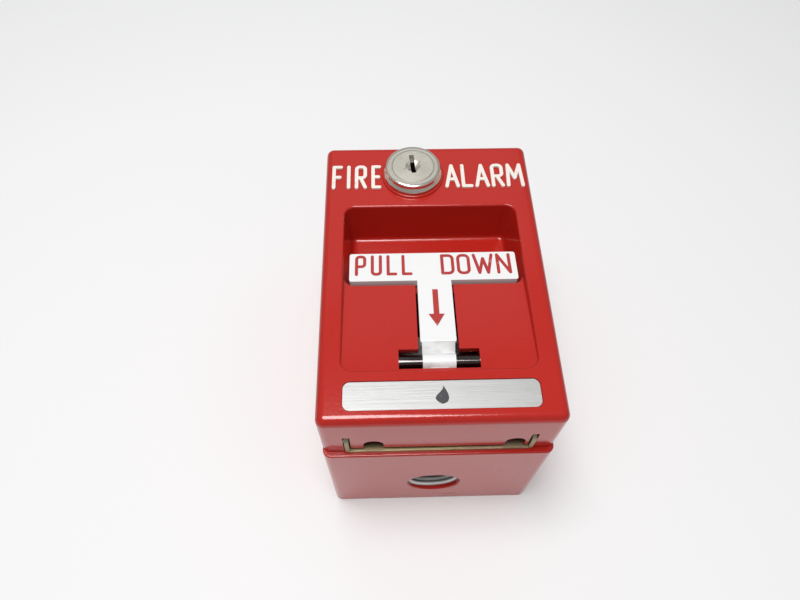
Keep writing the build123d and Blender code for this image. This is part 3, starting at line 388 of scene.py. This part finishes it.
paint(plated("green_chromate", (0.05, 0.24, 0.10), (0.12, 0.42, 0.19), 0.34, 0.6, 200), "earth_screw")
paint(moulded("blue_case", (0.045, 0.10, 0.24), 0.42), "switch_body")
paint(moulded("black_block", (0.022, 0.022, 0.024), 0.5), "terminal_block")


# ---- thread in the conduit entry ----------------------------------------------------------------
def make_thread():
    """The ridge of a pipe thread, wound inside the plain bore of the CAD body."""
    root = conduit_radius - THREAD_GAP
    crest = root - THREAD_DEPTH
    start_y = box_low.y + THREAD_START
    section = [(root, -0.5), (crest, -THREAD_FLAT), (crest, THREAD_FLAT), (root, 0.5)]
    points, faces = [], []
    count = int((conduit_length - THREAD_SHORT) / THREAD_PITCH * THREAD_STEPS)
    for step in range(count + 1):
        angle = 2 * math.pi * step / THREAD_STEPS
        fade = min(1.0, step / THREAD_FADE, (count - step) / THREAD_FADE)
        for radius, along in section:
            reach = root - (root - radius) * fade
            points.append((conduit_x + reach * math.cos(angle),
                           start_y + (step / THREAD_STEPS + along + 0.5) * THREAD_PITCH,
                           conduit_z + reach * math.sin(angle)))
        if step:
            base = 4 * step
            faces += [(base + k, base + (k + 1) % 4, base - 4 + (k + 1) % 4, base - 4 + k) for k in range(4)]
    faces += [(0, 1, 2, 3), (4 * count + 3, 4 * count + 2, 4 * count + 1, 4 * count)]
    mesh = bpy.data.meshes.new("conduit_thread")
    mesh.from_pydata(points, [], faces)
    thread = bpy.data.objects.new("conduit_thread", mesh)
    bpy.context.scene.collection.objects.link(thread)
    mesh.materials.append(thread_metal(root))
    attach(thread, "root")


make_thread()


# ---- floor, light and camera --------------------------------------------------------------------
FLOOR_REACH = 4.0            # metres each way from the object
FLOOR_GAP = 0.1 * MM         # below the object's back

# The camera looks down at the lying object from beyond its lower end.
LENS = 27.66
NEAREST = 0.01
CAMERA_X, CAMERA_Y = -0.01714, -0.12753
CAMERA_ABOVE_FACE = 0.18634
CAMERA_RIGHT = Vector((0.9996, -0.0259, 0.0078))
CAMERA_DOWN = Vector((-0.0181, -0.8551, -0.5181))

OBJECT_MIDDLE = (0, 0, 0.06)  # what the lights are turned to
SKY_STRENGTH = 0.34


def make_floor():
    """A wide pale floor just under the object."""
    mesh = bpy.data.meshes.new("floor")
    corners = [(-1, -1), (1, -1), (1, 1), (-1, 1)]
    mesh.from_pydata([(FLOOR_REACH * x, FLOOR_REACH * y, 0) for x, y in corners], [], [(0, 1, 2, 3)])
    floor = bpy.data.objects.new("floor", mesh)
    bpy.context.scene.collection.objects.link(floor)
    f = Finish("pale_floor")
    colour = f.mix(f.noise(3.0, 2.0), (0.83, 0.835, 0.84), (0.85, 0.85, 0.85))
    mesh.materials.append(f.done(Base_Color=colour, Roughness=0.65))
    floor.location.z = cad_box[0][2] - FLOOR_GAP


def soft_light(name, power, size, place):
    """A rectangular lamp turned to the middle of the object."""
    light = bpy.data.lights.new(name, "AREA")
    light.shape = "RECTANGLE"
    light.size, light.size_y = size
    light.energy = power
    lamp = bpy.data.objects.new(name, light)
    lamp.location = place
    lamp.rotation_euler = (Vector(OBJECT_MIDDLE) - Vector(place)).to_track_quat("-Z", "Y").to_euler()
    bpy.context.scene.collection.objects.link(lamp)


def make_sky():
    """Even white light from all round."""
    world = bpy.data.worlds.new("studio")
    world.use_nodes = True
    background = world.node_tree.nodes["Background"]
    background.inputs["Color"].default_value = (1, 1, 1, 1)
    background.inputs["Strength"].default_value = SKY_STRENGTH
    bpy.context.scene.world = world


def make_camera():
    data = bpy.data.cameras.new("camera")
    data.lens = LENS
    data.clip_start = NEAREST
    camera = bpy.data.objects.new("camera", data)
    forward = CAMERA_RIGHT.cross(CAMERA_DOWN)
    turn = Matrix((CAMERA_RIGHT, -CAMERA_DOWN, -forward)).transposed().to_4x4()
    place = Matrix.Translation((CAMERA_X, CAMERA_Y, face_height + CAMERA_ABOVE_FACE))
    camera.matrix_world = place @ turn
    bpy.context.scene.collection.objects.link(camera)
    bpy.context.scene.camera = camera


make_floor()
soft_light("overhead", 10.7, (0.6, 0.38), (-0.12, -0.06, 1.15))
soft_light("back_card", 0.12, (0.5, 0.25), (-0.06, 0.42, 0.55))
make_sky()
make_camera()
bpy.context.scene.view_settings.view_transform = "Standard"
